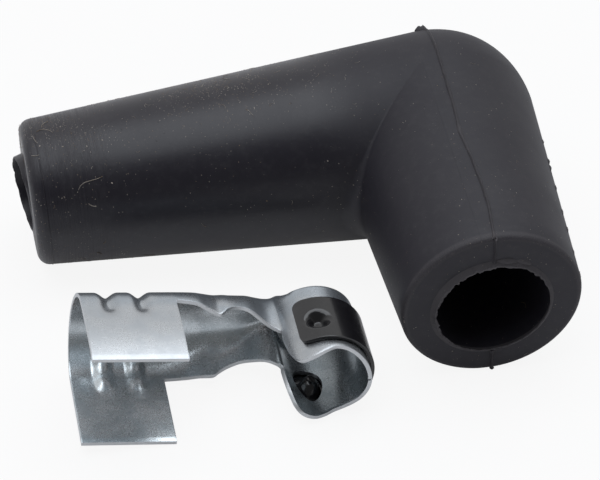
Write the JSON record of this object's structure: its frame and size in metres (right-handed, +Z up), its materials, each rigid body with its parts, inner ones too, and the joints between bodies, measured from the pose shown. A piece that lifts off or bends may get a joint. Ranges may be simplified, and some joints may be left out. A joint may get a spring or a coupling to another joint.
{
  "type": "spark plug cap",
  "caption": "Right-angle rubber spark plug cap lying beside the folded metal terminal and spring clip that fit inside it.",
  "frame": {"origin": "centre of the bounding box in X and Y, on the surface that the pieces lie on", "axes": "+Z up from the surface; the wire leg of the boot points to -X and its plug leg to -Y"},
  "size_m": [0.0472, 0.0376, 0.0186],
  "materials": {
    "boot_rubber": "matte black moulded rubber, dusty",
    "plated_steel": "bright plated sheet, satin",
    "black_spring_steel": "black oxide, half matte"
  },
  "bodies": {
    "root": {"boot": "boot_rubber", "terminal": "plated_steel", "spring_clip": "black_spring_steel"}
  },
  "joints": []
}
